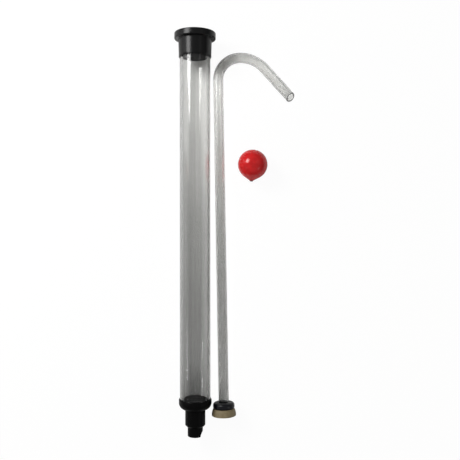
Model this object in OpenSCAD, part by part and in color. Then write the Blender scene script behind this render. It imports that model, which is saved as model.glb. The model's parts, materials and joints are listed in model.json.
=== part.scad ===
// Gravel vacuum siphon with a hand pump, taken apart and laid flat: a clear barrel with its
// collar and valve foot, a clear hooked cane with the cup piston, and the priming bulb.
// Millimetres, +Z up, the barrel lies along Y with its open collar at +Y, on a table at z = 0.

/* [Barrel] */
// Outside diameter of the clear barrel tube
barrel_d = 32; // [31:0.5:32.5]
// Wall of the barrel tube
barrel_wall = 2.5; // [2:0.1:3]
// Length of the barrel tube
barrel_len = 381; // [340:1:420]

/* [Collar] */
// Diameter of the finger flange at the open end
flange_d = 43.4; // [42:0.2:48]
// Thickness of the finger flange
flange_t = 6.8; // [4:0.2:9]
// Length of the skirt that grips the tube
skirt_len = 18.8; // [12:0.2:30]
// Diameter of the skirt beside the flange
skirt_d = 35; // [34.6:0.2:37]
// Diameter of the skirt at its free end
skirt_end_d = 34; // [33.8:0.1:34.6]

/* [Foot] */
// Diameter of the foot cap
foot_d = 34.5; // [34.4:0.1:36]
// Length of the cap that reaches up the tube
foot_grip = 6.3; // [4:0.1:12]
// Depth of the rounded underside
foot_round = 7; // [5.4:0.1:9]
// Diameter of the spigot below the cap
spigot_d = 21.2; // [20.4:0.2:24]
// Length of the spigot
spigot_len = 16.5; // [14:0.1:20]
// Diameter of the intake tip
tip_d = 16; // [15:0.2:18]
// Length of the intake tip
tip_len = 9.5; // [8:0.1:14]
// Radius of the notch in the rim of the tip
notch_r = 5.4; // [4:0.1:6]

/* [Cane] */
// Outside diameter of the cane tube
cane_d = 10.7; // [10:0.1:11]
// Wall of the cane tube
cane_wall = 1.6; // [1.2:0.1:2]
// Straight length from the cup's rim to the first bend
cane_run = 357.5; // [320:0.5:380]
// Centreline radius of the first bend
bend_r = 23.4; // [18:0.2:28]
// Centreline radius of the second, wider bend
shoulder_r = 35.4; // [30:0.2:40]
// Angle turned by the second bend
shoulder_angle = 48; // [40:1:52]
// Length of the outlet arm to the middle of its slanting end
arm_len = 41.5; // [30:0.5:50]
// How far the arm's end face leans back from square, in degrees
outlet_slant = 30; // [10:1:40]

/* [Piston] */
// Diameter of the cup at its rim
cup_d = 25.9; // [25:0.1:26.4]
// Height of the cup
cup_h = 7.4; // [7.2:0.1:9]
// Diameter of the black ring above the cup
ring_d = 22.8; // [21:0.1:23.4]
// Thickness of the black ring
ring_t = 6.6; // [5:0.1:8]

/* [Bulb] */
// Diameter of the priming bulb
bulb_d = 31.2; // [28:0.2:34]
// Distance from the bulb's centre to its mouth
bulb_reach = 17; // [16.6:0.1:18]
// Wall of the bulb
bulb_wall = 2.4; // [1.6:0.1:3]

/* [Layout] */
// How far the cane's line leans from the barrel's line, in degrees
cane_lean = 1; // [0.6:0.1:1.2]
// How far the cup's rim lies past the floor of the foot's socket
cup_setback = 12.5; // [11:0.5:16]
// Sideways distance from the barrel's line to the bulb
bulb_x = 60.6; // [56:0.2:64]
// Distance of the bulb from the floor of the foot's socket, along the barrel
bulb_y = 253.3; // [200:0.5:270]
// How far the nozzle of the bulb points away from the foot, in degrees
bulb_turn = 5; // [-20:1:20]

/* [Hidden] */
$fn = 96;
round_steps = 10; // straight steps in a rounded quarter
run_gap = 0.05; // running clearance on a radius
pass_gap = 0.3; // room between the cup and the foot as they pass
over = 1; // how far a cutting shape runs past what it cuts

barrel_r = barrel_d / 2;
bore_r = barrel_r - barrel_wall;
foot_r = foot_d / 2;
spigot_r = spigot_d / 2;
tip_r = tip_d / 2;
cane_r = cane_d / 2;
cup_r = cup_d / 2;
ring_r = ring_d / 2;
bulb_r = bulb_d / 2;

// Barrel heights are counted up its axis from the floor of the foot's socket
gasket_t = 1.2;
tube_low = gasket_t;
tube_top = tube_low + barrel_len;
cap_edge_z = 2.6;
spigot_top_z = cap_edge_z - foot_round;
spigot_end_z = spigot_top_z - spigot_len;
tip_top_z = spigot_end_z - (spigot_r - tip_r);
tip_end_z = tip_top_z - tip_len;

// The foot valve
chamber_r = 8;
ledge_r = 8.8;
ledge_z = -4.4;
cage_t = 3;
cage_top = ledge_z + cage_t;
seat_z = -16.4;
seat_r = 4.6;
seat_t = 2.6;
intake_r = 5.6;
disc_r = 7;
disc_t = 2;
stem_r = 1.5;
lift = 3.8;
stop_z = seat_z + disc_t + lift + run_gap;
guide_r = 3.2;
button_t = 1.4;

// Piston heights are counted up the cane's axis from the cup's rim
rim_h = 1.4;
hub_r = 8;
hub_low = 1;
cane_low = 2;
web_t = 2;
cup_t = 1.5;
washer_t = 1.2;
nut_t = 3;
ring_low = cup_h;
hub_top = ring_low + ring_t;
seal_r = 0.8;
seal_z = ring_low + 1.4;
groove_h = 2 * seal_r + 0.2;
washer_top = cup_h - web_t;
nut_top = washer_top - washer_t;
nut_r = hub_r + 2.3;

// The collar
flange_low = tube_top + 1.2;
skirt_low = flange_low - skirt_len;
collar_top = flange_low + flange_t;
lead_in = 2;

// The bulb's nozzle, and the angle from it at which the cone leaves the sphere
mouth_r = 1.6;
lip_r = mouth_r + 0.6;
liner_r = 0.9;
liner_out = 1;
apex_out = 1.4;
flank = acos(bulb_r / (bulb_reach + apex_out));

// Resting angles: each long piece touches the table at both of its widest rims
barrel_tilt = atan((flange_d - foot_d) / 2 / (flange_low - cap_edge_z));
barrel_z = foot_r * cos(barrel_tilt) - cap_edge_z * sin(barrel_tilt);
cane_tilt = atan((cup_r - cane_r) / (cane_run + bend_r - rim_h));
cane_z = cup_r * cos(cane_tilt) + rim_h * sin(cane_tilt);
cane_x = sqrt((cup_r + foot_r + pass_gap) ^ 2 - (foot_r - cup_r) ^ 2);

// The hook: two bends and an arm, in the cane's own plane
first_angle = 90 + cane_lean;
hook_angle = first_angle + shoulder_angle;
first_end = [bend_r * (1 - cos(first_angle)), cane_run + bend_r * sin(first_angle)];
shoulder_hub = first_end + shoulder_r * [cos(first_angle), -sin(first_angle)];
arm_start = shoulder_hub - shoulder_r * [cos(hook_angle), -sin(hook_angle)];
arm_end = arm_start + arm_len * [sin(hook_angle), cos(hook_angle)];

// Moves the origin to the middle of the whole layout
left_x = -flange_d / 2;
right_x = cane_x + arm_end.x * cos(cane_lean) - arm_end.y * cos(cane_tilt) * sin(cane_lean)
        + cane_r * norm([cos(hook_angle - cane_lean), sin(hook_angle - cane_lean) * tan(outlet_slant)]);
low_y = tip_end_z * cos(barrel_tilt) - tip_r * sin(barrel_tilt);
high_y = collar_top * cos(barrel_tilt) + flange_d / 2 * sin(barrel_tilt);
shift = [-(left_x + right_x) / 2, -(low_y + high_y) / 2, 0];

// Points of a quarter ellipse from (r0 + w, z0) down to (r0, z0 - h)
function quarter(r0, z0, w, h) =
    [for (i = [0 : round_steps]) [r0 + w * cos(90 * i / round_steps), z0 - h * sin(90 * i / round_steps)]];

// Stands a piece built up +Z onto the barrel's line
module on_barrel() {
    translate(shift + [0, 0, barrel_z]) rotate([barrel_tilt - 90, 0, 0]) children();
}

// Stands a piece built up +Z onto the cane's line, with its +X side towards the hook
module on_cane() {
    translate(shift + [cane_x, -cup_setback, cane_z])
        rotate([0, 0, cane_lean]) rotate([-cane_tilt - 90, 0, 0]) children();
}

// Lays a piece built up +Z about the bulb's centre, with the nozzle at its top
module on_bulb() {
    translate(shift + [bulb_x, bulb_y, bulb_r]) rotate([90, 0, -bulb_turn]) children();
}

module tube(r_out, r_in, z0, z1) {
    difference() {
        translate([0, 0, z0]) cylinder(r = r_out, h = z1 - z0);
        translate([0, 0, z0 - over]) cylinder(r = r_in, h = z1 - z0 + 2 * over);
    }
}

// Clear barrel, open at both ends
module barrel_tube() {
    color("gainsboro", 0.5) on_barrel() tube(barrel_r, bore_r, tube_low, tube_top);
}

// Finger flange and skirt, cemented over the open end of the barrel
module collar() {
    edge = 0.8;
    lip = 0.3;
    color("black") on_barrel() rotate_extrude() polygon([
        [barrel_r, skirt_low], [skirt_end_d / 2 - lip, skirt_low], [skirt_end_d / 2, skirt_low + 2 * lip],
        [skirt_d / 2, flange_low], [flange_d / 2 - edge, flange_low], [flange_d / 2, flange_low + edge],
        [flange_d / 2, collar_top - edge], [flange_d / 2 - edge, collar_top],
        [bore_r + lead_in, collar_top], [bore_r, collar_top - lead_in],
        [bore_r, tube_top], [barrel_r, tube_top]]);
}

// Cap, spigot and intake tip in one moulding, with the valve chamber inside
module foot_cap() {
    socket_r = barrel_r + run_gap;
    edge = 0.9;
    color("dimgray") on_barrel() difference() {
        rotate_extrude() polygon(concat(
            [[0, foot_grip], [foot_r - edge, foot_grip], [foot_r, foot_grip - edge]],
            quarter(spigot_r, cap_edge_z, foot_r - spigot_r, foot_round),
            [[spigot_r, spigot_end_z], [tip_r, tip_top_z], [tip_r, tip_end_z], [0, tip_end_z]]));
        cylinder(r = socket_r, h = foot_grip + over);
        translate([0, 0, ledge_z]) cylinder(r = ledge_r, h = over - ledge_z);
        translate([0, 0, seat_z]) cylinder(r = chamber_r, h = ledge_z - seat_z + over);
        translate([0, 0, seat_z - seat_t - over]) cylinder(r = seat_r, h = seat_t + 2 * over);
        translate([0, 0, tip_end_z - over]) cylinder(r = intake_r, h = seat_z - seat_t - tip_end_z + over);
        translate([0, 0, tip_end_z]) rotate([0, 90, 0]) cylinder(r = notch_r, h = tip_r + over);
    }
}

// Flat rubber ring between the tube's end and the floor of the cap
module foot_gasket() {
    gap = 0.2;
    shows = 0.7; // how far it stands into the bore
    color("darkslategray") on_barrel() tube(barrel_r - gap, bore_r - shows, 0, tube_low);
}

// Pressed-in spider that guides the valve's stem and stops its lift
module valve_cage() {
    rim_w = 1.5;
    arm = [2 * (ledge_r - rim_w / 2), 1.8, 2];
    color("silver") on_barrel() difference() {
        union() {
            tube(ledge_r, ledge_r - rim_w, ledge_z, cage_top);
            translate([0, 0, stop_z]) cylinder(r = guide_r, h = cage_top - stop_z);
            for (turn = [0 : 60 : 120]) rotate([0, 0, turn])
                translate([-arm.x / 2, -arm.y / 2, ledge_z]) cube(arm);
        }
        translate([0, 0, seat_z]) cylinder(r = stem_r + run_gap, h = cage_top - seat_z + over);
    }
}

// Rubber disc that closes the seat on the pump's down stroke
module valve_disc() {
    color("saddlebrown") on_barrel() tube(disc_r, stem_r, seat_z, seat_z + disc_t);
}

// Stem through the disc, with a button under it
module valve_stem() {
    button_r = 3;
    stem_top = ledge_z + 1;
    edge = 0.4;
    low = seat_z - button_t;
    color("white") on_barrel() rotate_extrude() polygon([
        [0, low], [button_r - edge, low], [button_r, low + edge], [button_r, seat_z],
        [stem_r, seat_z], [stem_r, stem_top - edge], [stem_r - edge, stem_top], [0, stem_top]]);
}

// Cross-section of the cane's wall, centred x away from the axis it is swept about and thinned a
// little on both sides in the bends
module cane_wall_ring(x, thin) {
    translate([x, 0]) difference() {
        circle(cane_r - thin);
        circle(cane_r - cane_wall + thin);
    }
}

// Clear cane: a long straight run that bends over into the hook and outlet arm, whose end is cut
// aslant so that it opens upwards
module cane_tube() {
    thin = 0.04;
    bite = 0.3; // how far each stretch runs into the next, in millimetres or degrees
    wide = 2 * cane_d;
    color("gainsboro", 0.5) on_cane() {
        translate([0, 0, cane_low]) linear_extrude(cane_run - cane_low + bite) cane_wall_ring(0, 0);
        translate([bend_r, 0, cane_run]) rotate([90, first_angle + bite - 180, 0])
            rotate_extrude(angle = first_angle + bite) cane_wall_ring(bend_r, thin);
        translate([shoulder_hub.x, 0, shoulder_hub.y]) rotate([90, hook_angle - 180, 0])
            rotate_extrude(angle = shoulder_angle) cane_wall_ring(shoulder_r, 2 * thin);
        translate([arm_start.x, 0, arm_start.y]) rotate([0, hook_angle, 0]) difference() {
            translate([0, 0, -bite]) linear_extrude(arm_len + cane_d) cane_wall_ring(0, 0);
            translate([0, 0, arm_len]) rotate([outlet_slant, 0, 0])
                translate([-wide / 2, -wide / 2, 0]) cube(wide);
        }
    }
}

// Bush that the cane turns in; it carries the ring, the cup, the washer and the nut
module piston_hub() {
    color("black") on_cane() difference() {
        tube(hub_r, cane_r + run_gap, hub_low, hub_top);
        translate([0, 0, seal_z - groove_h / 2]) cylinder(r = cane_r + groove_h / 2 + seal_r, h = groove_h);
    }
}

// Small ring seal in the hub's groove, against the cane
module hub_seal() {
    color("darkslategray") on_cane() translate([0, 0, seal_z])
        rotate_extrude() translate([cane_r + seal_r + run_gap, 0]) circle(seal_r, $fn = 32);
}

// Black ring that backs the cup, rounded over on its upper side
module piston_ring() {
    soft = 2.4;
    edge = 0.8;
    color("black") on_cane() mirror([0, 0, 1]) rotate_extrude() polygon(concat(
        [[hub_r, -hub_top], [hub_r, -ring_low], [ring_r - edge, -ring_low], [ring_r, -ring_low - edge]],
        quarter(ring_r - soft, soft - hub_top, soft, soft)));
}

// Tan cup that seals the barrel's bore, open downwards
module piston_cup() {
    edge = 0.5;
    waist_h = cup_h * 0.45;
    color("tan") on_cane() rotate_extrude() polygon([
        [hub_r, cup_h], [ring_r - edge, cup_h], [ring_r + edge / 2, cup_h - edge], [cup_r - edge, waist_h],
        [cup_r, rim_h + edge], [cup_r, rim_h], [cup_r - edge, 0], [cup_r - cup_t, 0],
        [cup_r - cup_t - edge, waist_h], [ring_r - cup_t, washer_top], [hub_r, washer_top]]);
}

// Washer that spreads the nut's load inside the cup
module cup_washer() {
    color("silver") on_cane() tube(ring_r - cup_t, hub_r, nut_top, washer_top);
}

// Nut that clamps the cup up against the ring
module piston_nut() {
    color("black") on_cane() translate([0, 0, nut_top - nut_t]) difference() {
        cylinder(r = nut_r, h = nut_t, $fn = 6);
        translate([0, 0, -over]) cylinder(r = hub_r, h = nut_t + 2 * over);
    }
}

// Hollow rubber bulb, drawn out to a short cone
module priming_bulb() {
    color("firebrick") on_bulb() difference() {
        union() {
            sphere(bulb_r);
            translate([0, 0, bulb_r * cos(flank)])
                cylinder(r1 = bulb_r * sin(flank), r2 = lip_r, h = bulb_reach - bulb_r * cos(flank));
        }
        sphere(bulb_r - bulb_wall);
        cylinder(r = mouth_r, h = bulb_reach + over);
    }
}

// Short hard liner that keeps the mouth of the bulb open
module bulb_nozzle() {
    color("saddlebrown") on_bulb() tube(mouth_r, liner_r, bulb_r - bulb_wall, bulb_reach + liner_out);
}

barrel_tube();
collar();
foot_cap();
foot_gasket();
valve_cage();
valve_disc();
valve_stem();
cane_tube();
piston_hub();
hub_seal();
piston_ring();
piston_cup();
cup_washer();
piston_nut();
priming_bulb();
bulb_nozzle();
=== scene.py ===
import json
import math
import bpy
import numpy as np
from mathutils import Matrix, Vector


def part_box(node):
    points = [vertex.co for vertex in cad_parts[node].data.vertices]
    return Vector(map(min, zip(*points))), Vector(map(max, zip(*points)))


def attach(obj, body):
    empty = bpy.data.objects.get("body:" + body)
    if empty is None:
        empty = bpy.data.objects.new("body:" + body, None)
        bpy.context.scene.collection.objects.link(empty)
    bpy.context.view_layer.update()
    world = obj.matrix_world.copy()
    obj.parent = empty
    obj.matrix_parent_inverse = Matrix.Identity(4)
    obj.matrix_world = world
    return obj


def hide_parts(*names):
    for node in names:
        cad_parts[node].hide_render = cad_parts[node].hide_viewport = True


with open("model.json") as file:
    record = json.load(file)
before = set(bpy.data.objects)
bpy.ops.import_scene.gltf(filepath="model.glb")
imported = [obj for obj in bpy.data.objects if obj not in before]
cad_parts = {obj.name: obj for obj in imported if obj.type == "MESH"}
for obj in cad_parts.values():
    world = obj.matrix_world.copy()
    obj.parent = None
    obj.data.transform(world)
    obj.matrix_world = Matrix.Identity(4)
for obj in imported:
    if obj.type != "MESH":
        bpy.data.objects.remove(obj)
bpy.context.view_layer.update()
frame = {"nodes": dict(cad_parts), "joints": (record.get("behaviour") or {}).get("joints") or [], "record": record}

mm = 0.001

# how the long pieces lie, read from the frame's own joints and mounts
joints = {j["name"]: j for j in frame["joints"]}
mounts = {m["name"]: m for m in frame["record"]["mounts"]}


def unit(v):
    v = np.array(v, float)
    return v / np.linalg.norm(v)


# an axis frame: origin plus three unit directions, w along the piece and u towards +X
def axisFrame(origin, along):
    w = unit(along)
    u = unit(np.array([1.0, 0, 0]) - w[0] * w)
    return np.array(origin, float), u, np.cross(w, u), w


layout = {
    "barrelLength": 381 * mm,
    "tubeLow": 1.2 * mm,
    "barrelRadius": 16 * mm,
    "boreRadius": 13.5 * mm,
    "caneRadius": 5.35 * mm,
    "caneBore": 3.75 * mm,
}
boreMount = mounts["barrel_bore"]
barrelUp = unit(boreMount["axis"])
barrelFoot = np.array(boreMount["pos_m"]) - barrelUp * (layout["tubeLow"] + layout["barrelLength"] / 2)
barrelAxes = axisFrame(barrelFoot, barrelUp)
swivel = joints["cane_swivel"]
caneAxes = axisFrame(swivel["pos_m"], -np.array(swivel["axis"]))
print("frame read: barrel foot", np.round(barrelFoot / mm, 2), "cane foot", np.round(caneAxes[0] / mm, 2))


# place local points: origin + x u + y v + z w
def placed(points, axes):
    origin, u, v, w = axes
    return origin + points[..., :1] * u + points[..., 1:2] * v + points[..., 2:3] * w


# one mesh object from a grid of points, rows by columns, where the last row and column join the first
def gridMesh(name, grid, flip=False):
    rows, cols = grid.shape[:2]
    a, b = np.meshgrid(np.arange(rows), np.arange(cols), indexing="ij")
    a2, b2 = (a + 1) % rows, (b + 1) % cols
    faces = np.stack([a * cols + b, a2 * cols + b, a2 * cols + b2, a * cols + b2], -1).reshape(-1, 4)
    if flip:
        faces = faces[:, ::-1]
    mesh = bpy.data.meshes.new(name)
    mesh.vertices.add(rows * cols)
    mesh.vertices.foreach_set("co", grid.reshape(-1).astype(np.float32))
    mesh.loops.add(faces.size)
    mesh.loops.foreach_set("vertex_index", faces.reshape(-1).astype(np.int32))
    mesh.polygons.add(len(faces))
    mesh.polygons.foreach_set("loop_start", np.arange(0, faces.size, 4, dtype=np.int32))
    mesh.update(calc_edges=True)
    mesh.validate()
    mesh.shade_smooth()
    piece = bpy.data.objects.new(name, mesh)
    bpy.context.collection.objects.link(piece)
    return piece


# an outline with its corners rounded: each corner (r, z, rounding) becomes an arc tangent to both
# sides, and each straight side is split so that no step is longer than longest. A corner whose half angle
# is past straightHalf, in radians, is as good as straight and is kept as a point
def roundedOutline(corners, steps, longest):
    straightHalf = 1.56
    pts = np.array([c[:2] for c in corners], float)
    soft = np.array([c[2] for c in corners], float)
    out = []
    n = len(pts)
    for k in range(n):
        p, before, after = pts[k], pts[k - 1], pts[(k + 1) % n]
        d1, d2 = unit(before - p), unit(after - p)
        half = math.acos(float(np.clip(d1 @ d2, -1, 1))) / 2
        if soft[k] == 0 or half > straightHalf:
            out.append(p)
            continue
        reach = soft[k] / math.tan(half)
        centre = p + unit(d1 + d2) * soft[k] / math.sin(half)
        a = p + d1 * reach - centre
        turn = math.pi - 2 * half
        side = 1 if a[0] * (p - centre)[1] - a[1] * (p - centre)[0] > 0 else -1
        t = np.linspace(0, turn, steps + 1) * side
        c, s = np.cos(t), np.sin(t)
        out.extend(centre + np.stack([a[0] * c - a[1] * s, a[0] * s + a[1] * c], -1))
    loop = np.array(out)
    split = []
    for p, q in zip(loop, np.roll(loop, -1, 0)):
        count = max(1, int(math.ceil(np.linalg.norm(q - p) / longest)))
        split.append(p + (q - p) * np.linspace(0, 1, count, endpoint=False)[:, None])
    return np.concatenate(split)


# a closed outline (r, z) turned round the axis: x = r cos t, y = r sin t, z = z
def lathe(name, outline, axes, around=144):
    t = np.linspace(0, 2 * np.pi, around, endpoint=False)
    r, z = outline[:, 0][:, None], outline[:, 1][:, None]
    grid = np.stack([r * np.cos(t), r * np.sin(t), z + 0 * t], -1)
    area = np.sum(outline[:, 0] * np.roll(outline[:, 1], -1) - np.roll(outline[:, 0], -1) * outline[:, 1])
    return gridMesh(name, placed(grid, axes), flip=area > 0)


# a new material with its node tree, its Principled shader and a texture coordinate node
def newMaterial(name):
    mat = bpy.data.materials.new(name)
    mat.use_nodes = True
    tree = mat.node_tree
    shader = tree.nodes["Principled BSDF"]
    where = tree.nodes.new("ShaderNodeTexCoord")
    return mat, tree, shader, where


# a colour ramp with the given stops, each a position and a colour
def ramp(tree, stops):
    node = tree.nodes.new("ShaderNodeValToRGB")
    elements = node.color_ramp.elements
    while len(elements) < len(stops):
        elements.new(0.5)
    for element, (at, colour) in zip(elements, stops):
        element.position = at
        element.color = (*colour, 1)
    return node


# a maths node of two values, each a number or the output of another node
def mathNode(tree, kind, a, b):
    node = tree.nodes.new("ShaderNodeMath")
    node.operation = kind
    for k, value in enumerate((a, b)):
        if hasattr(value, "links"):
            tree.links.new(value, node.inputs[k])
        else:
            node.inputs[k].default_value = value
    return node.outputs[0]


# an empty node group with the given inputs and outputs, each a name and a kind of socket
def newGroup(name, inputs, outputs):
    group = bpy.data.node_groups.new(name, "ShaderNodeTree")
    for side, sockets in (("INPUT", inputs), ("OUTPUT", outputs)):
        for label, kind in sockets:
            group.interface.new_socket(name=label, in_out=side, socket_type="NodeSocket" + kind)
    return group, group.nodes.new("NodeGroupInput"), group.nodes.new("NodeGroupOutput")


def grey(v):
    return (v, v, v * 0.997)


mouldedShape = {
    "grainDetail": 3, "bumpHeight": 0.2 * mm, "broadScale": 70, "broadDetail": 4,
    "dustScale": 1600, "dustDetail": 1, "dustEdge": 0.78, "dustSteepness": 14.0,
}


# group: fine moulded surface. Grain is fractal noise; specks are a high threshold of a second noise
def mouldedGroup(shape):
    group, start, end = newGroup("mouldedSurface", [
        ("Vector", "Vector"), ("Colour", "Color"), ("Speck Colour", "Color"), ("Grain Scale", "Float"),
        ("Grain Depth", "Float"), ("Speck Share", "Float"), ("Roughness", "Float"),
        ("Roughness Spread", "Float")], [("Colour", "Color"), ("Roughness", "Float"), ("Normal", "Vector")])
    link = group.links.new

    grain = group.nodes.new("ShaderNodeTexNoise")
    grain.inputs["Detail"].default_value = shape["grainDetail"]
    link(start.outputs["Vector"], grain.inputs["Vector"])
    link(start.outputs["Grain Scale"], grain.inputs["Scale"])
    bump = group.nodes.new("ShaderNodeBump")
    bump.inputs["Distance"].default_value = shape["bumpHeight"]
    link(start.outputs["Grain Depth"], bump.inputs["Strength"])
    link(grain.outputs["Fac"], bump.inputs["Height"])
    link(bump.outputs["Normal"], end.inputs["Normal"])

    broad = group.nodes.new("ShaderNodeTexNoise")
    broad.inputs["Scale"].default_value = shape["broadScale"]
    broad.inputs["Detail"].default_value = shape["broadDetail"]
    link(start.outputs["Vector"], broad.inputs["Vector"])
    centred = mathNode(group, "SUBTRACT", broad.outputs["Fac"], 0.5)
    spread = mathNode(group, "MULTIPLY", centred, start.outputs["Roughness Spread"])
    link(mathNode(group, "ADD", start.outputs["Roughness"], spread), end.inputs["Roughness"])

    dust = group.nodes.new("ShaderNodeTexNoise")
    dust.inputs["Scale"].default_value = shape["dustScale"]
    dust.inputs["Detail"].default_value = shape["dustDetail"]
    link(start.outputs["Vector"], dust.inputs["Vector"])
    edge = mathNode(group, "SUBTRACT", shape["dustEdge"], start.outputs["Speck Share"])
    over = mathNode(group, "SUBTRACT", dust.outputs["Fac"], edge)
    speck = mathNode(group, "MULTIPLY", over, shape["dustSteepness"])
    clamp = group.nodes.new("ShaderNodeClamp")
    link(speck, clamp.inputs["Value"])
    mix = group.nodes.new("ShaderNodeMix")
    mix.data_type = "RGBA"
    link(clamp.outputs["Result"], mix.inputs["Factor"])
    link(start.outputs["Colour"], mix.inputs["A"])
    link(start.outputs["Speck Colour"], mix.inputs["B"])
    link(mix.outputs["Result"], end.inputs["Colour"])
    return group


# group: mottle. Fractal noise, read as 0 at low and 1 at high, takes the colour from dark to light
def mottleGroup():
    group, start, end = newGroup("mottle", [
        ("Vector", "Vector"), ("Scale", "Float"), ("Detail", "Float"), ("Low", "Float"), ("High", "Float"),
        ("Dark", "Color"), ("Light", "Color")], [("Colour", "Color")])
    noise = group.nodes.new("ShaderNodeTexNoise")
    share = group.nodes.new("ShaderNodeMapRange")
    mix = group.nodes.new("ShaderNodeMix")
    mix.data_type = "RGBA"
    for output, target in (
        (start.outputs["Vector"], noise.inputs["Vector"]), (start.outputs["Scale"], noise.inputs["Scale"]),
        (start.outputs["Detail"], noise.inputs["Detail"]), (noise.outputs["Fac"], share.inputs["Value"]),
        (start.outputs["Low"], share.inputs["From Min"]), (start.outputs["High"], share.inputs["From Max"]),
        (share.outputs["Result"], mix.inputs["Factor"]), (start.outputs["Dark"], mix.inputs["A"]),
        (start.outputs["Light"], mix.inputs["B"]), (mix.outputs["Result"], end.inputs["Colour"]),
    ):
        group.links.new(output, target)
    return group


moulded = mouldedGroup(mouldedShape)
mottled = mottleGroup()


# a moulded material: the group's colour, roughness and normal on a Principled shader
def mouldedMaterial(name, look):
    mat, tree, shader, where = newMaterial(name)
    node = tree.nodes.new("ShaderNodeGroup")
    node.node_tree = moulded
    tree.links.new(where.outputs["Object"], node.inputs["Vector"])
    node.inputs["Colour"].default_value = (*look["colour"], 1)
    node.inputs["Speck Colour"].default_value = (*look["speck"], 1)
    for label, key in (
        ("Grain Scale", "grainScale"), ("Grain Depth", "grainDepth"), ("Speck Share", "speckShare"),
        ("Roughness", "rough"), ("Roughness Spread", "spread"),
    ):
        node.inputs[label].default_value = look[key]
    for label in ("Roughness", "Normal"):
        tree.links.new(node.outputs[label], shader.inputs[label])
    tree.links.new(node.outputs["Colour"], shader.inputs["Base Color"])
    shader.inputs["Specular IOR Level"].default_value = look.get("specular", 0.5)
    shader.inputs["Metallic"].default_value = look.get("metallic", 0.0)
    if "mottle" in look:
        mottle = tree.nodes.new("ShaderNodeGroup")
        mottle.node_tree = mottled
        for label, value in look["mottle"].items():
            mottle.inputs[label].default_value = value
        tree.links.new(where.outputs["Object"], mottle.inputs["Vector"])
        tree.links.new(mottle.outputs["Colour"], node.inputs["Colour"])
    return mat


# group: how far along y a point lies, (y - low) / (high - low)
def spanGroup():
    group, start, end = newGroup(
        "spanAlongY", [("Vector", "Vector"), ("Low", "Float"), ("High", "Float")], [("Share", "Float")])
    split = group.nodes.new("ShaderNodeSeparateXYZ")
    span = group.nodes.new("ShaderNodeMapRange")
    group.links.new(start.outputs["Vector"], split.inputs[0])
    group.links.new(split.outputs["Y"], span.inputs["Value"])
    group.links.new(start.outputs["Low"], span.inputs["From Min"])
    group.links.new(start.outputs["High"], span.inputs["From Max"])
    group.links.new(span.outputs["Result"], end.inputs["Share"])
    return group


# group: tint and painted shade of a drawn tube, tint and shade along the tube x painted side reflection and edge
# shade x painted low-end shade x lines. The lines are noise stretched along y, as the die leaves them, and how
# far the wall turns away says how much of the painted low-end shade shows
def drawnTintAndShadeGroup(shape):
    group, start, end = newGroup("drawnTintAndShade", [
        ("Vector", "Vector"), ("Tint And Shade", "Color"), ("Side", "Color"), ("Low End Shade", "Color"),
        ("Facing", "Float")], [("Colour", "Color")])
    link = group.links.new
    stretch = group.nodes.new("ShaderNodeMapping")
    stretch.inputs["Scale"].default_value = (shape["across"], shape["along"], shape["across"])
    link(start.outputs["Vector"], stretch.inputs["Vector"])
    noise = group.nodes.new("ShaderNodeTexNoise")
    noise.inputs["Scale"].default_value = 1
    noise.inputs["Detail"].default_value = shape["detail"]
    link(stretch.outputs["Vector"], noise.inputs["Vector"])
    lines = ramp(group, [(shape["deepBelow"], grey(shape["deep"])), (shape["clearAbove"], grey(1.0))])
    link(noise.outputs["Fac"], lines.inputs["Fac"])
    lowEndShadeMask = ramp(group, [(at, (level,) * 3) for at, level in shape["lowEndShadeShown"]])
    link(start.outputs["Facing"], lowEndShadeMask.inputs["Fac"])
    last = start.outputs["Tint And Shade"]
    # multiplied in turn: the painted side reflection and edge shade, the painted shade at the low end, the lines
    for share, layer in (
        (None, start.outputs["Side"]), (lowEndShadeMask.outputs["Color"], start.outputs["Low End Shade"]),
        (None, lines.outputs["Color"]),
    ):
        mix = group.nodes.new("ShaderNodeMix")
        mix.data_type = "RGBA"
        mix.blend_type = "MULTIPLY"
        mix.inputs["Factor"].default_value = 1
        if share:
            link(share, mix.inputs["Factor"])
        link(last, mix.inputs["A"])
        link(layer, mix.inputs["B"])
        last = mix.outputs["Result"]
    link(last, end.inputs["Colour"])
    return group


drawnShape = {
    "across": 520, "along": 3, "detail": 2, "deep": 0.93, "deepBelow": 0.38, "clearAbove": 0.56,
    "lowEndShadeShown": [(0.08, 1), (0.18, 0), (0.40, 0), (0.47, 1)],
}
spanAlongY = spanGroup()
drawnTintAndShade = drawnTintAndShadeGroup(drawnShape)


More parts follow.
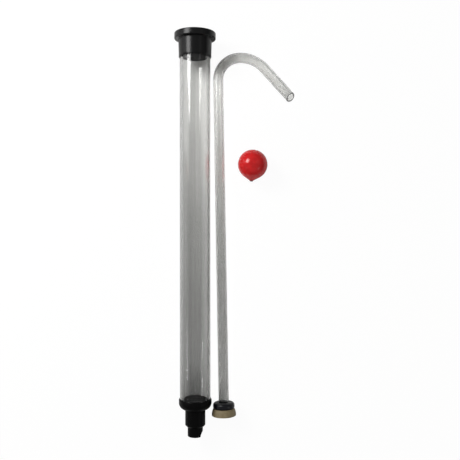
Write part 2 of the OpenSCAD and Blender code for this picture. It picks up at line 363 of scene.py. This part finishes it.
# clear plastic: glass with a grey tint, and painted shade that deepens it from the collar end to the foot end,
# standing in for the darker room it reflects there. It is lighter where the wall turns away, a painted reflection
# of the lit floor, and darker at the very edge, painted shade for the longer way through the wall and the dark
# surroundings it reflects there; painted shade at the low end, where the dark foot keeps light off, only shows
# on the middle and at the very edge
def clearMaterial(name, look, low, high):
    mat, tree, shader, where = newMaterial(name)
    link = tree.links.new
    span = tree.nodes.new("ShaderNodeGroup")
    span.node_tree = spanAlongY
    span.inputs["Low"].default_value = low
    span.inputs["High"].default_value = high
    link(where.outputs["Object"], span.inputs["Vector"])
    facing = tree.nodes.new("ShaderNodeLayerWeight")
    facing.inputs["Blend"].default_value = 0.5
    tintAndShadeNode = tree.nodes.new("ShaderNodeGroup")
    tintAndShadeNode.node_tree = drawnTintAndShade
    link(where.outputs["Object"], tintAndShadeNode.inputs["Vector"])
    link(facing.outputs["Facing"], tintAndShadeNode.inputs["Facing"])
    # the tint with painted shade along the tube, the painted shade at the low end, and by facing the painted
    # reflection on the turned-away wall and painted shade at the very edge
    for label, stops, source in (
        ("Tint And Shade", look["tintAndShade"], span.outputs["Share"]), ("Low End Shade", look["lowEndShade"], span.outputs["Share"]),
        ("Side", look["sides"], facing.outputs["Facing"]),
    ):
        steps = ramp(tree, stops)
        link(source, steps.inputs["Fac"])
        link(steps.outputs["Color"], tintAndShadeNode.inputs[label])
    link(tintAndShadeNode.outputs["Colour"], shader.inputs["Base Color"])
    shader.inputs["Roughness"].default_value = look["rough"]
    shader.inputs["Transmission Weight"].default_value = 1
    shader.inputs["IOR"].default_value = look["ior"]
    return mat


barrelLow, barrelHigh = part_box("barrel_tube")
caneLow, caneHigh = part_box("cane_tube")
# barrel: grey tint with painted shade deepening toward the foot end, a painted reflection where the wall turns
# away with painted shade at the very edge, and a ramp of painted shade at the low end by the foot
barrelLook = {
    "ior": 1.49, "rough": 0.01,
    "sides": [(0.0, grey(0.88)), (0.10, grey(0.88)), (0.16, grey(1.0)), (0.40, grey(1.0)),
              (0.48, grey(0.70)), (1.0, grey(0.62))],
    "tintAndShade": [(0.0, grey(0.76)), (0.10, grey(0.77)), (0.3, grey(0.755)), (0.5, grey(0.785)),
              (0.8, grey(0.95)), (1.0, grey(0.99))],
    "lowEndShade": [(0.0, grey(0.60)), (0.04, grey(0.69)), (0.12, grey(0.88)), (0.3, grey(0.94)),
              (0.6, grey(1.0))],
}
clearBarrel = clearMaterial("clearBarrel", barrelLook, barrelLow.y, barrelHigh.y)
# cane: grey tint with painted shade deepening toward its low end, a painted reflection where the wall turns away
# with painted shade at the very edge, and a ramp of painted shade at its low end
caneLook = {
    "ior": 1.49, "rough": 0.13,
    "sides": [(0.0, grey(0.97)), (0.10, grey(0.97)), (0.16, grey(1.0)), (0.38, grey(1.0)),
              (0.48, grey(0.70)), (1.0, grey(0.64))],
    "tintAndShade": [(0.0, grey(0.70)), (0.10, grey(0.70)), (0.3, grey(0.69)), (0.5, grey(0.73)),
              (0.72, grey(0.79)), (0.87, grey(0.90)), (0.93, grey(0.98)), (1.0, grey(0.99))],
    "lowEndShade": [(0.0, grey(0.85)), (0.1, grey(1.0))],
}
clearCane = clearMaterial("clearCane", caneLook, caneLow.y, caneHigh.y)

# finishes of the moulded pieces. Speck is the colour of the fine dust, the grain's depth is its bump's
# strength, and spread is how far the roughness wanders. A mottle gives the values of the mottle group's
# own sockets, and its colours take the place of the plain one
mouldedLooks = {
    "sawnEnd": {
        "colour": (0.42, 0.42, 0.415), "speck": (0.6, 0.6, 0.6), "speckShare": 0.03,
        "grainScale": 1500, "grainDepth": 0.2, "rough": 0.5, "spread": 0.2},
    "blackCollar": {
        "colour": (0.003, 0.003, 0.0034), "speck": (0.02, 0.02, 0.02), "speckShare": 0.02,
        "grainScale": 700, "grainDepth": 0.05, "rough": 0.24, "spread": 0.1, "specular": 0.30},
    "blackFoot": {
        "colour": (0.0022, 0.0022, 0.0022), "speck": (0.012, 0.012, 0.012), "speckShare": 0.02,
        "grainScale": 900, "grainDepth": 0.14, "rough": 0.36, "spread": 0.16, "specular": 0.09},
    "blackPiston": {
        "colour": (0.004, 0.004, 0.005), "speck": (0.02, 0.02, 0.02), "speckShare": 0.02,
        "grainScale": 900, "grainDepth": 0.1, "rough": 0.34, "spread": 0.1, "specular": 0.3},
    "blackRubber": {
        "colour": (0.006, 0.006, 0.006), "speck": (0.06, 0.06, 0.06), "speckShare": 0.03,
        "grainScale": 1200, "grainDepth": 0.2, "rough": 0.6, "spread": 0.1},
    "ringBlack": {
        "colour": (0.003, 0.003, 0.006), "speck": (0.03, 0.03, 0.03), "speckShare": 0.02,
        "grainScale": 800, "grainDepth": 0.1, "rough": 0.3, "spread": 0.12, "specular": 0.35},
    "valvePlastic": {
        "colour": (0.10, 0.10, 0.10), "speck": (0.2, 0.2, 0.2), "speckShare": 0.01,
        "grainScale": 900, "grainDepth": 0.08, "rough": 0.4, "spread": 0.1},
    "valveRubber": {
        "colour": (0.10, 0.05, 0.03), "speck": (0.2, 0.15, 0.1), "speckShare": 0.02,
        "grainScale": 1200, "grainDepth": 0.15, "rough": 0.55, "spread": 0.1},
    "stemPlastic": {
        "colour": (0.6, 0.6, 0.57), "speck": (0.4, 0.4, 0.35), "speckShare": 0.01,
        "grainScale": 900, "grainDepth": 0.05, "rough": 0.35, "spread": 0.1},
    "nozzleBrown": {
        "colour": (0.07, 0.022, 0.016), "speck": (0.2, 0.1, 0.1), "speckShare": 0.02,
        "grainScale": 900, "grainDepth": 0.1, "rough": 0.45, "spread": 0.1},
    "washerSteel": {
        "colour": (0.52, 0.53, 0.54), "speck": (0.35, 0.35, 0.35), "speckShare": 0.02,
        "grainScale": 1500, "grainDepth": 0.1, "rough": 0.32, "spread": 0.15, "metallic": 1.0},
    "redRubber": {
        "colour": (0.75, 0.012, 0.014), "speck": (0.60, 0.12, 0.10), "speckShare": 0.01,
        "grainScale": 500, "grainDepth": 0.06, "rough": 0.19, "spread": 0.12, "specular": 0.45,
        "mottle": {"Scale": 160, "Detail": 3, "Low": 0.35, "High": 0.65,
                   "Dark": (0.68, 0.008, 0.010, 1), "Light": (0.82, 0.016, 0.018, 1)}},
    "tanRubber": {
        "colour": (0.25, 0.20, 0.13), "speck": (0.32, 0.28, 0.22), "speckShare": 0.03,
        "grainScale": 700, "grainDepth": 0.16, "rough": 0.6, "spread": 0.1,
        "mottle": {"Scale": 220, "Detail": 4, "Low": 0.3, "High": 0.7,
                   "Dark": (0.235, 0.178, 0.092, 1), "Light": (0.35, 0.285, 0.165, 1)}},
}
finish = {name: mouldedMaterial(name, look) for name, look in mouldedLooks.items()}
print("materials made")


# give a piece its material, hide the CAD nodes it stands for and attach it to its body; the record slot name is
# not used
def finishPiece(piece, material, body, slotName, *nodes):
    piece.data.materials.clear()
    piece.data.materials.append(material)
    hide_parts(*nodes)
    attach(piece, body)


# barrel: a tube wall with its two ends eased, turned round the barrel's axis
barrelWall = {"ease": 0.4 * mm}
tubeR, boreR, tubeLow = layout["barrelRadius"], layout["boreRadius"], layout["tubeLow"]
ease = barrelWall["ease"]
tubeTop = tubeLow + layout["barrelLength"]
barrel = lathe("clearBarrelTube", roundedOutline([
    (boreR, tubeLow, ease), (tubeR, tubeLow, ease), (tubeR, tubeTop, ease), (boreR, tubeTop, ease)],
    steps=4, longest=12 * mm), barrelAxes, around=192)
barrel.visible_shadow = False
finishPiece(barrel, clearBarrel, "barrel", "clear_barrel", "barrel_tube")

# collar: finger flange, tapered skirt with a fine bead at its free end, and an eased mouth
collarShape = {
    "flangeR": 21.7 * mm, "flangeLow": 383.4 * mm, "flangeTop": 390.2 * mm, "skirtLow": 364.6 * mm,
    "skirtR": 17.5 * mm, "skirtEndR": 17.0 * mm, "flangeEdge": 1.1 * mm, "leadIn": 2.0 * mm,
    "leadEdge": 0.5 * mm, "beadUnder": 0.1 * mm, "beadOut": 0.15 * mm, "beadMiddle": 0.9 * mm,
    "beadTop": 1.8 * mm, "innerEdge": 0.15 * mm, "beadEdge": 0.3 * mm, "beadTopEdge": 0.4 * mm,
    "rootEdge": 0.7 * mm,
}
c = collarShape
collar = lathe("fingerCollar", roundedOutline([
    (tubeR, c["skirtLow"], c["innerEdge"]), (c["skirtEndR"] - c["beadUnder"], c["skirtLow"], c["beadEdge"]),
    (c["skirtEndR"] + c["beadOut"], c["skirtLow"] + c["beadMiddle"], c["beadEdge"]),
    (c["skirtEndR"], c["skirtLow"] + c["beadTop"], c["beadTopEdge"]),
    (c["skirtR"], c["flangeLow"], c["rootEdge"]),
    (c["flangeR"], c["flangeLow"], c["flangeEdge"]), (c["flangeR"], c["flangeTop"], c["flangeEdge"]),
    (boreR + c["leadIn"], c["flangeTop"], c["leadEdge"]),
    (boreR, c["flangeTop"] - c["leadIn"], c["leadEdge"]),
    (boreR, tubeTop, 0), (tubeR, tubeTop, 0)], steps=7, longest=1.5 * mm), barrelAxes, around=192)
finishPiece(collar, finish["blackCollar"], "barrel", "black_collar", "collar")

# foot: grip, rounded underside, spigot and tip. The underside is a quarter of an ellipse. Within the notch
# of radius n the rim of the tip is raised by sqrt(n^2 - (R sin t)^2), where R is the tip's radius, and the
# rise fades to nothing at the top of the tip
footShape = {
    "gripTop": 6.3 * mm, "capR": 17.25 * mm, "capEdge": 2.6 * mm, "round": 7 * mm,
    "spigotR": 10.6 * mm, "spigotEnd": -20.9 * mm, "tipR": 8 * mm, "tipTop": -23.5 * mm,
    "tipEnd": -33 * mm, "floor": 0.0, "socketR": 16.05 * mm, "ledgeR": 8.8 * mm,
    "ledge": -4.4 * mm, "chamberR": 8 * mm, "seat": -16.4 * mm, "seatR": 4.6 * mm, "seatT": 2.6 * mm,
    "intakeR": 5.6 * mm, "notchR": 5.4 * mm, "gripEdge": 0.95 * mm, "spigotEdge": 0.5 * mm,
    "tipEdge": 0.8 * mm, "intakeEdge": 0.6 * mm, "fineEdge": 0.3 * mm, "smallEdge": 0.2 * mm,
    "tinyEdge": 0.1 * mm,
}
f = footShape


def footOutline():
    fine, small, tiny = f["fineEdge"], f["smallEdge"], f["tinyEdge"]
    t = np.linspace(0, math.pi / 2, 15)[1:-1]
    bowl = [(f["spigotR"] + (f["capR"] - f["spigotR"]) * math.cos(a),
             f["capEdge"] - f["round"] * math.sin(a), 0) for a in t]
    return roundedOutline([
        (f["socketR"], f["gripTop"], small), (f["capR"], f["gripTop"], f["gripEdge"]),
        (f["capR"], f["capEdge"], 0), *bowl,
        (f["spigotR"], f["capEdge"] - f["round"], fine), (f["spigotR"], f["spigotEnd"], f["spigotEdge"]),
        (f["tipR"], f["tipTop"], f["tipEdge"]), (f["tipR"], f["tipEnd"], f["tipEdge"]),
        (f["intakeR"], f["tipEnd"], f["intakeEdge"]), (f["intakeR"], f["seat"] - f["seatT"], fine),
        (f["seatR"], f["seat"] - f["seatT"], small), (f["seatR"], f["seat"], fine),
        (f["chamberR"], f["seat"], small), (f["chamberR"], f["ledge"], tiny),
        (f["ledgeR"], f["ledge"], tiny), (f["ledgeR"], f["floor"], fine),
        (f["socketR"], f["floor"], small)], steps=5, longest=1 * mm)


def footMesh(name, around=256):
    outline = footOutline()
    t = np.linspace(0, 2 * np.pi, around, endpoint=False)
    r, z = outline[:, 0][:, None] + 0 * t, outline[:, 1][:, None] + 0 * t
    chord = np.where(np.cos(t) > 0, f["tipR"] * np.sin(t), f["tipR"])
    rise = np.sqrt(np.clip(f["notchR"] ** 2 - chord ** 2, 0, None))
    share = np.clip((f["tipTop"] - z) / (f["tipTop"] - f["tipEnd"]), 0, 1)
    z = z + share * rise
    grid = np.stack([r * np.cos(t), r * np.sin(t), z], -1)
    return gridMesh(name, placed(grid, barrelAxes))


foot = footMesh("footCap")
finishPiece(foot, finish["blackFoot"], "foot", "black_foot", "foot_cap")
print("barrel pieces made")


# cane: a wall outline carried along straight, first bend, second bend and arm. Its end is cut aslant:
# over the last stretch a point that lies a drop below the centreline is moved on by share^2 drop tan(slant)
caneShape = {
    "low": 2 * mm, "run": 357.5 * mm, "bend": 23.4 * mm, "bendAngle": 91, "shoulder": 35.4 * mm,
    "shoulderAngle": 48, "arm": 41.5 * mm, "slant": 30, "slantOver": 12 * mm, "ease": 0.35 * mm,
    "around": 224,
}


# the two bends' angles, and the distances along the centreline where the first bend, the second bend and
# the arm begin and where the arm ends
def caneStations():
    k = caneShape
    a1, a2 = math.radians(k["bendAngle"]), math.radians(k["shoulderAngle"])
    s1 = k["run"]
    s2 = s1 + k["bend"] * a1
    s3 = s2 + k["shoulder"] * a2
    return a1, a2, s1, s2, s3, s3 + k["arm"]


# point and heading at distance s along the centreline, in the cane's own plane
def canePath(s):
    k = caneShape
    a1, a2, s1, s2, s3, _ = caneStations()
    straight = np.clip(s, None, s1)
    t1 = np.clip((s - s1) / k["bend"], 0, a1)
    t2 = np.clip((s - s2) / k["shoulder"], 0, a2)
    rest = np.clip(s - s3, 0, None)
    h = t1 + t2
    x = k["bend"] * (1 - np.cos(t1)) + k["shoulder"] * (np.cos(t1) - np.cos(h)) + rest * np.sin(h)
    z = straight + k["bend"] * np.sin(t1) + k["shoulder"] * (np.sin(h) - np.sin(t1)) + rest * np.cos(h)
    return x, z, h


def caneMesh(name):
    k = caneShape
    _, _, s1, s2, s3, s4 = caneStations()
    stops = np.concatenate([
        np.linspace(k["low"], s1, 40, endpoint=False), np.linspace(s1, s2, 56, endpoint=False),
        np.linspace(s2, s3, 40, endpoint=False), np.linspace(s3, s4 - k["slantOver"], 8, endpoint=False),
        np.linspace(s4 - k["slantOver"], s4, 20)])
    e = k["ease"]
    q = np.linspace(0, math.pi / 2, 5)
    outR, inR = layout["caneRadius"], layout["caneBore"]
    inner = stops[1:-1]
    outline = np.concatenate([
        np.stack([inner, np.full_like(inner, outR)], -1),
        np.stack([s4 - e + e * np.sin(q), outR - e + e * np.cos(q)], -1),
        np.stack([s4 - e + e * np.cos(q), inR + e - e * np.sin(q)], -1),
        np.stack([inner[::-1], np.full_like(inner, inR)], -1),
        np.stack([k["low"] + e - e * np.sin(q), inR + e - e * np.cos(q)], -1),
        np.stack([k["low"] + e - e * np.cos(q), outR - e + e * np.sin(q)], -1)])
    s, r = outline[:, :1], outline[:, 1:]
    t = np.linspace(0, 2 * np.pi, k["around"], endpoint=False)
    side, drop = r * np.cos(t), r * np.sin(t)
    share = np.clip((s - s4 + k["slantOver"]) / k["slantOver"], 0, 1)
    slanted = share ** 2 * drop * math.tan(math.radians(k["slant"]))
    x, z, h = canePath(s + slanted)
    grid = np.stack([x + side * np.cos(h), drop + 0 * x, z - side * np.sin(h)], -1)
    piece = gridMesh(name, placed(grid, caneAxes), flip=True)
    sawn = (s[:, 0] > s4 - 0.5 * e) | (s[:, 0] < k["low"] + 0.5 * e)
    return piece, np.repeat(sawn & np.roll(sawn, -1), k["around"])


cane, sawnFaces = caneMesh("hookedCane")
cane.visible_shadow = False
finishPiece(cane, clearCane, "cane", "clear_cane", "cane_tube")
cane.data.materials.append(finish["sawnEnd"])
cane.data.polygons.foreach_set("material_index", sawnFaces.astype(np.int32))

# piston ring, turned round the cane's axis like the rest of the piston
ringShape = {
    "innerR": 8 * mm, "outerR": 11.4 * mm, "low": 7.4 * mm, "top": 14 * mm, "lowEdge": 2.0 * mm,
    "topEdge": 3.0 * mm, "innerEdge": 0.3 * mm,
}
r = ringShape
ring = lathe("pistonRing", roundedOutline([
    (r["innerR"], r["low"], 0), (r["outerR"], r["low"], r["lowEdge"]),
    (r["outerR"], r["top"], r["topEdge"]), (r["innerR"], r["top"], r["innerEdge"])],
    steps=10, longest=1 * mm), caneAxes)
finishPiece(ring, finish["ringBlack"], "piston", "ring_black", "piston_ring")

# hub: the bush that the cane turns in
hubShape = {
    "bore": 5.4 * mm, "radius": 8 * mm, "low": 1 * mm, "top": 14 * mm, "edge": 0.4 * mm,
    "boreEdge": 0.2 * mm,
}
h = hubShape
hub = lathe("pistonHub", roundedOutline([
    (h["bore"], h["low"], h["boreEdge"]), (h["radius"], h["low"], h["edge"]),
    (h["radius"], h["top"], h["edge"]), (h["bore"], h["top"], h["edge"])],
    steps=5, longest=1 * mm), caneAxes)
finishPiece(hub, finish["blackPiston"], "piston", "piston_black", "piston_hub")

# cup: flared skirt whose outer wall runs from neck to lip as 1 - (1 - u)^flare and carries shallow rings,
# r = base + depth sin(2 pi z / pitch), that fade out at both ends
cupShape = {
    "lipR": 12.95 * mm, "neckR": 11.6 * mm, "height": 7.4 * mm, "web": 2 * mm, "holeR": 8 * mm,
    "flare": 1.7, "skirtTop": 6.8 * mm, "skirtLow": 1.2 * mm, "ringDepth": 0.08 * mm,
    "ringPitch": 1.25 * mm, "lipWidth": 1.4 * mm, "wall": 2.1 * mm, "wallShare": 0.4,
    "cornerR": 9.9 * mm, "shoulder": 0.6 * mm, "lipOuterEdge": 0.45 * mm, "lipInnerEdge": 0.5 * mm,
    "wallEdge": 1.0 * mm, "cornerEdge": 0.8 * mm, "shoulderEdge": 0.5 * mm,
}


def cupOutline():
    k = cupShape
    lipR, neck, top, depth = k["lipR"], k["neckR"], k["height"], k["ringDepth"]
    high, low, under = k["skirtTop"], k["skirtLow"], k["height"] - k["web"]
    z = np.linspace(high, low, 40)
    u = (high - z) / (high - low)
    base = neck + (lipR - depth - neck) * (1 - (1 - u) ** k["flare"])
    rings = depth * np.sin(2 * np.pi * z / k["ringPitch"]) * np.sin(np.pi * u)
    outer = np.stack([base + rings, z], -1)
    rest = roundedOutline([
        (lipR - depth, low, 0), (lipR - 2 * depth, 0, k["lipOuterEdge"]),
        (lipR - k["lipWidth"], 0, k["lipInnerEdge"]),
        (lipR - k["wall"], k["wallShare"] * top, k["wallEdge"]), (k["cornerR"], under, k["cornerEdge"]),
        (k["holeR"], under, 0), (k["holeR"], top, 0), (neck - k["shoulder"], top, k["shoulderEdge"]),
        (neck, high, 0)], steps=5, longest=1 * mm)
    start = int(np.argmin(np.hypot(rest[:, 0] - outer[-1, 0], rest[:, 1] - outer[-1, 1])))
    rest = np.roll(rest, -start, 0)
    stop = int(np.argmin(np.hypot(rest[:, 0] - outer[0, 0], rest[:, 1] - outer[0, 1])))
    return np.concatenate([outer, rest[1:stop]])


cup = lathe("pistonCup", cupOutline(), caneAxes, around=160)
finishPiece(cup, finish["tanRubber"], "piston", "tan_rubber", "piston_cup")
print("cane and piston pieces made")

# bulb: the meridian is a sphere of radius r up to the angle where the cone leaves it, then the cone's
# straight flank to the mouth; a fine parting ridge stands on the sphere across the nozzle's line. At its
# poles the outline stays a hair off the axis
bulbShape = {
    "radius": 15.6 * mm, "reach": 17 * mm, "mouth": 1.6 * mm, "lip": 2.2 * mm, "wall": 2.4 * mm,
    "apexOut": 1.4 * mm, "turn": 5, "ridge": 0.08 * mm, "ridgeWidth": 2.2, "lipEdge": 0.3 * mm,
    "lipFlat": 0.9, "lipRise": 0.12 * mm, "pole": 0.02 * mm,
}
g = bulbShape
bulbLow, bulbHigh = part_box("priming_bulb")
bulbCentre = np.array([(bulbLow.x + bulbHigh.x) / 2, bulbHigh.y - g["radius"], g["radius"]])
turn = math.radians(g["turn"])
bulbAxes = axisFrame(bulbCentre, (-math.sin(turn), -math.cos(turn), 0))


def bulbOutline():
    r, reach = g["radius"], g["reach"]
    flank = math.acos(r / (reach + g["apexOut"]))
    a = np.concatenate([np.linspace(180, 100, 44), np.linspace(99, 81, 37), np.linspace(80, 0, 60)])
    a = np.radians(a)
    a = a[a > flank]
    swell = r + g["ridge"] * np.exp(-((np.degrees(a) - 90) / g["ridgeWidth"]) ** 2)
    ball = np.stack([swell * np.sin(a), swell * np.cos(a)], -1)
    ball[0, 0] = g["pole"]
    top = np.array([r * math.sin(flank), r * math.cos(flank)])
    lip = np.array([g["lip"], reach])
    cone = top + (lip - top) * np.linspace(0, 1, 9)[:, None]
    q = np.linspace(0, math.pi / 2, 5)[1:]
    rimR = g["lip"] - g["lipEdge"] + g["lipEdge"] * np.cos(q) * g["lipFlat"]
    rim = np.stack([rimR, reach + g["lipRise"] * np.sin(q)], -1)
    inR = r - g["wall"]
    inTop = math.sqrt(inR ** 2 - g["mouth"] ** 2)
    mouth = np.array([[g["mouth"], reach], [g["mouth"], (reach + inTop) / 2], [g["mouth"], inTop]])
    b = np.linspace(math.asin(g["mouth"] / inR), math.pi, 40)[1:]
    hollow = np.stack([inR * np.sin(b), inR * np.cos(b)], -1)
    hollow[-1, 0] = g["pole"]
    return np.concatenate([ball, cone, rim, mouth, hollow])


bulb = lathe("primingBulb", bulbOutline(), bulbAxes)
finishPiece(bulb, finish["redRubber"], "bulb", "red_rubber", "priming_bulb")

# nozzle: a short liner in the bulb's mouth that stands a little out of it
nozzleShape = {
    "innerR": 0.9 * mm, "outerR": 1.6 * mm, "low": 13.2 * mm, "high": 18 * mm, "lowEdge": 0.1 * mm,
    "outerEdge": 0.25 * mm, "innerEdge": 0.2 * mm,
}
n = nozzleShape
nozzle = lathe("bulbNozzle", roundedOutline([
    (n["innerR"], n["low"], n["lowEdge"]), (n["outerR"], n["low"], n["lowEdge"]),
    (n["outerR"], n["high"], n["outerEdge"]), (n["innerR"], n["high"], n["innerEdge"])],
    steps=4, longest=1 * mm), bulbAxes, around=48)
finishPiece(nozzle, finish["nozzleBrown"], "bulb", "nozzle_brown", "bulb_nozzle")
print("bulb made")

# the small inner pieces keep their own shape and take a finish
innerFinish = {
    "foot_gasket": "blackRubber", "valve_cage": "valvePlastic", "valve_disc": "valveRubber",
    "valve_stem": "stemPlastic", "hub_seal": "blackRubber", "cup_washer": "washerSteel",
    "piston_nut": "blackPiston",
}
for nodeName, finishName in innerFinish.items():
    for slot in frame["nodes"][nodeName].material_slots:
        slot.material = finish[finishName]

# the floor: seen directly it is nearly plain white, as a lit backdrop is; what the clear pieces show of
# it is its own soft grey
stageShape = {
    "size": 6.0, "colour": (0.93, 0.93, 0.92), "rough": 0.9, "backdrop": 1.03, "backdropShare": 0.92,
}
half = stageShape["size"] / 2
floorMesh = bpy.data.meshes.new("floor")
floorMesh.from_pydata([(-half, -half, 0), (half, -half, 0), (half, half, 0), (-half, half, 0)], [],
                      [(0, 1, 2, 3)])
floor = bpy.data.objects.new("floor", floorMesh)
bpy.context.collection.objects.link(floor)
floorMaterial, floorTree, floorShader, _ = newMaterial("paleFloor")
floorShader.inputs["Base Color"].default_value = (*stageShape["colour"], 1)
floorShader.inputs["Roughness"].default_value = stageShape["rough"]
floorShader.inputs["Specular IOR Level"].default_value = 0.0
seen = floorTree.nodes.new("ShaderNodeLightPath")
glow = floorTree.nodes.new("ShaderNodeEmission")
glow.inputs["Strength"].default_value = stageShape["backdrop"]
blendShader = floorTree.nodes.new("ShaderNodeMixShader")
share = mathNode(floorTree, "MULTIPLY", seen.outputs["Is Camera Ray"], stageShape["backdropShare"])
for output, target in (
    (share, blendShader.inputs["Fac"]), (floorShader.outputs["BSDF"], blendShader.inputs[1]),
    (glow.outputs["Emission"], blendShader.inputs[2]),
    (blendShader.outputs["Shader"], floorTree.nodes["Material Output"].inputs["Surface"]),
):
    floorTree.links.new(output, target)
floorMesh.materials.append(floorMaterial)

# soft room light: brighter overhead than at the horizon, by the height of the direction; seen directly it
# is the same pale backdrop as the floor
roomShape = {"horizon": 0.12, "middle": 0.24, "middleAt": 0.35, "overhead": 0.36, "backdrop": 0.94}
world = bpy.data.worlds.new("softRoom")
bpy.context.scene.world = world
world.use_nodes = True
worldTree = world.node_tree
background = worldTree.nodes["Background"]
sky = worldTree.nodes.new("ShaderNodeTexCoord")
skySplit = worldTree.nodes.new("ShaderNodeSeparateXYZ")
skyRamp = ramp(worldTree, [
    (at, (roomShape[level],) * 3)
    for at, level in ((0.0, "horizon"), (roomShape["middleAt"], "middle"), (1.0, "overhead"))])
skySeen = worldTree.nodes.new("ShaderNodeLightPath")
skyMix = worldTree.nodes.new("ShaderNodeMix")
skyMix.data_type = "RGBA"
skyMix.inputs["B"].default_value = (*(roomShape["backdrop"],) * 3, 1)
for output, target in (
    (sky.outputs["Generated"], skySplit.inputs[0]), (skySplit.outputs["Z"], skyRamp.inputs["Fac"]),
    (skySeen.outputs["Is Camera Ray"], skyMix.inputs["Factor"]),
    (skyRamp.outputs["Color"], skyMix.inputs["A"]), (skyMix.outputs["Result"], background.inputs["Color"]),
):
    worldTree.links.new(output, target)
background.inputs["Strength"].default_value = 1.0

# soft lights round the middle of the layout: a direction, a distance, a width and height, and watts
lightShapes = {
    "keyWindow": ((-0.58, 0.46, 0.62), 0.9, 0.36, 0.33, 3.6),
    "fillPanel": ((0.51, 0.32, 0.69), 1.2, 0.24, 0.15, 0.06),
    "sidePanel": ((-0.86, 0.30, 0.40), 1.0, 0.30, 0.75, 0.9),
    "glintLeft": ((-0.828, -0.345, 0.439), 0.688, 0.12, 0.012, 0.12),
    "glintRight": ((0.712, -0.433, 0.550), 0.647, 0.12, 0.012, 0.10),
}
for name, (direction, distance, width, height, watts) in lightShapes.items():
    light = bpy.data.lights.new(name, "AREA")
    light.shape = "RECTANGLE"
    light.size, light.size_y, light.energy = width, height, watts
    lamp = bpy.data.objects.new(name, light)
    bpy.context.collection.objects.link(lamp)
    aim = Vector(direction).normalized()
    lamp.location = aim * distance
    lamp.rotation_mode = "QUATERNION"
    lamp.rotation_quaternion = aim.to_track_quat("Z", "Y")

# the camera looks straight down from beside the middle of the barrel
cameraShape = {
    "height": 683.5 * mm, "beside": 36.6 * mm, "along": 184 * mm, "lens": 49.46, "sensor": 36,
    "nearest": 10 * mm,
}
cameraData = bpy.data.cameras.new("camera")
cameraData.sensor_width = cameraShape["sensor"]
cameraData.lens = cameraShape["lens"]
cameraData.clip_start = cameraShape["nearest"]
camera = bpy.data.objects.new("camera", cameraData)
camera.location = (barrelFoot[0] + cameraShape["beside"], barrelFoot[1] + cameraShape["along"],
                   cameraShape["height"])
bpy.context.collection.objects.link(camera)
bpy.context.scene.camera = camera
bpy.context.scene.view_settings.view_transform = "Standard"
bpy.context.scene.view_settings.look = "None"
print("stage, lights and camera made")
